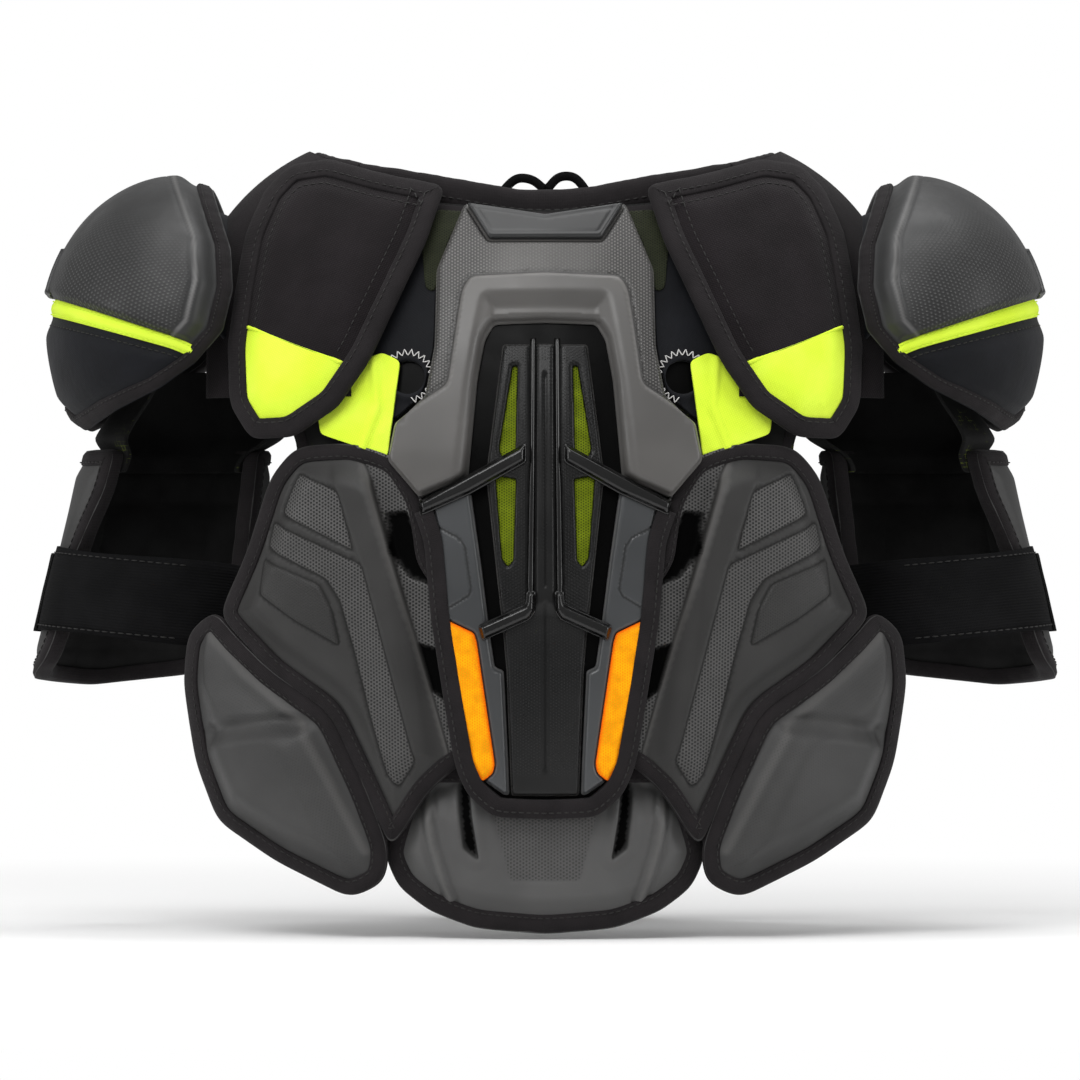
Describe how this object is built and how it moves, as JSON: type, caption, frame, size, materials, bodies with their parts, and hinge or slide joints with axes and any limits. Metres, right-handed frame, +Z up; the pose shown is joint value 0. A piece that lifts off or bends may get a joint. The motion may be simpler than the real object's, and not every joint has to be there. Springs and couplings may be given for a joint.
{
  "type": "hockey shoulder pads",
  "caption": "Padded upper-body protector with a moulded sternum guard, rib pods, hinged shoulder caps and strapped upper-arm guards.",
  "frame": {"origin": "bottom centre of the whole assembly's bounding box, level with the lower edge of the belly and lower back pads", "axes": "+Z up, the wearer faces -Y, +X towards the wearer's left"},
  "size_m": [0.562, 0.302, 0.4342],
  "materials": {
    "badge_blank": "blank plate",
    "bed_black": "matte",
    "core_dark": "moulded, dotted",
    "edge_tape": "sewn edge tape",
    "foam_grey": "moulded foam skin",
    "gloss_black": "gloss",
    "hook_tape": "hook tape",
    "knit_black": "fine knit",
    "lime_elastic": "ribbed elastic",
    "lime_knit": "fine knit",
    "liner_fabric": "brushed knit",
    "olive_mesh": "open mesh",
    "orange_mesh": "fine mesh",
    "sternum_grey": "moulded, lightly textured",
    "stretch_black": "smooth stretch knit",
    "webbing_black": "woven elastic",
    "wing_grey": "moulded, smooth"
  },
  "bodies": {
    "front": {"chest_liner": "liner_fabric", "sternum_bed": "bed_black", "sternum_binding": "edge_tape", "sternum_shell": "sternum_grey", "sternum_wings": "wing_grey", "orange_inserts": "orange_mesh", "sternum_core": "core_dark", "core_meshes": "olive_mesh", "core_crossbars": "gloss_black", "badge_plate": "badge_blank", "collar": "edge_tape", "hang_loops": "webbing_black", "gussets": "stretch_black", "lime_tabs": "lime_elastic", "chest_panel_left": "foam_grey", "chest_binding_left": "edge_tape", "shoulder_arch_left": "liner_fabric", "chest_panel_right": "foam_grey", "chest_binding_right": "edge_tape", "shoulder_arch_right": "liner_fabric"},
    "belly": {"belly_pad": "foam_grey", "belly_binding": "edge_tape"},
    "back": {"back_liner": "liner_fabric", "back_binding": "edge_tape", "scapula_pads": "foam_grey", "spine_guard": "wing_grey", "lower_back_pad": "foam_grey"},
    "rib_pod_left": {"rib_pod_left": "foam_grey", "rib_pod_binding_left": "edge_tape"},
    "flap_left": {"flap_left": "knit_black", "flap_toe_left": "lime_knit", "flap_binding_left": "edge_tape"},
    "cap_left": {"cap_shell_left": "foam_grey", "cap_stripe_left": "lime_elastic", "cap_skirt_left": "stretch_black", "cap_binding_left": "edge_tape", "cap_liner_left": "liner_fabric", "cap_badge_left": "badge_blank"},
    "bicep_left": {"bicep_pad_left": "liner_fabric", "bicep_shell_left": "foam_grey", "bicep_strap_left": "webbing_black", "bicep_tab_left": "hook_tape"},
    "torso_strap_left": {"torso_strap_left": "webbing_black"},
    "rib_pod_right": {"rib_pod_right": "foam_grey", "rib_pod_binding_right": "edge_tape"},
    "flap_right": {"flap_right": "knit_black", "flap_toe_right": "lime_knit", "flap_binding_right": "edge_tape"},
    "cap_right": {"cap_shell_right": "foam_grey", "cap_stripe_right": "lime_elastic", "cap_skirt_right": "stretch_black", "cap_binding_right": "edge_tape", "cap_liner_right": "liner_fabric", "cap_badge_right": "badge_blank"},
    "bicep_right": {"bicep_pad_right": "liner_fabric", "bicep_shell_right": "foam_grey", "bicep_strap_right": "webbing_black", "bicep_tab_right": "hook_tape"},
    "torso_strap_right": {"torso_strap_right": "webbing_black"}
  },
  "joints": [
    {"name": "back_swing", "type": "hinge", "parent": "front", "child": "back", "pos_m": [0, 0.092, 0.376], "axis": [1, 0, 0], "range_deg": [0, 25]},
    {"name": "belly_flex", "type": "hinge", "parent": "front", "child": "belly", "pos_m": [0, -0.1247, 0.095], "axis": [1, 0, 0], "range_deg": [0, 20]},
    {"name": "cap_left_lift", "type": "hinge", "parent": "front", "child": "cap_left", "pos_m": [0.187, 0, 0.407], "axis": [0, -1, 0], "range_deg": [0, 50]},
    {"name": "bicep_left_swing", "type": "hinge", "parent": "cap_left", "child": "bicep_left", "pos_m": [0.25, 0, 0.267], "axis": [0, -1, 0], "range_deg": [0, 35]},
    {"name": "rib_pod_left_flex", "type": "hinge", "parent": "front", "child": "rib_pod_left", "pos_m": [0.119, -0.122, 0.12], "axis": [-0.5715, -0.276, -0.7728], "range_deg": [0, 20]},
    {"name": "flap_left_lift", "type": "hinge", "parent": "front", "child": "flap_left", "pos_m": [0.105, -0.052, 0.418], "axis": [-0.9177, -0.3949, -0.043], "range_deg": [0, 4]},
    {"name": "torso_strap_left_swing", "type": "hinge", "parent": "back", "child": "torso_strap_left", "pos_m": [0.152, 0.08, 0.093], "axis": [0, 0, 1], "range_deg": [0, 35]},
    {"name": "cap_right_lift", "type": "hinge", "parent": "front", "child": "cap_right", "pos_m": [-0.187, 0, 0.407], "axis": [0, 1, 0], "range_deg": [0, 50]},
    {"name": "bicep_right_swing", "type": "hinge", "parent": "cap_right", "child": "bicep_right", "pos_m": [-0.25, 0, 0.267], "axis": [0, 1, 0], "range_deg": [0, 35]},
    {"name": "rib_pod_right_flex", "type": "hinge", "parent": "front", "child": "rib_pod_right", "pos_m": [-0.119, -0.122, 0.12], "axis": [-0.5715, 0.276, 0.7728], "range_deg": [0, 20]},
    {"name": "flap_right_lift", "type": "hinge", "parent": "front", "child": "flap_right", "pos_m": [-0.105, -0.052, 0.418], "axis": [-0.9177, 0.3949, 0.043], "range_deg": [0, 4]},
    {"name": "torso_strap_right_swing", "type": "hinge", "parent": "back", "child": "torso_strap_right", "pos_m": [-0.152, 0.08, 0.093], "axis": [0, 0, -1], "range_deg": [0, 35]}
  ]
}
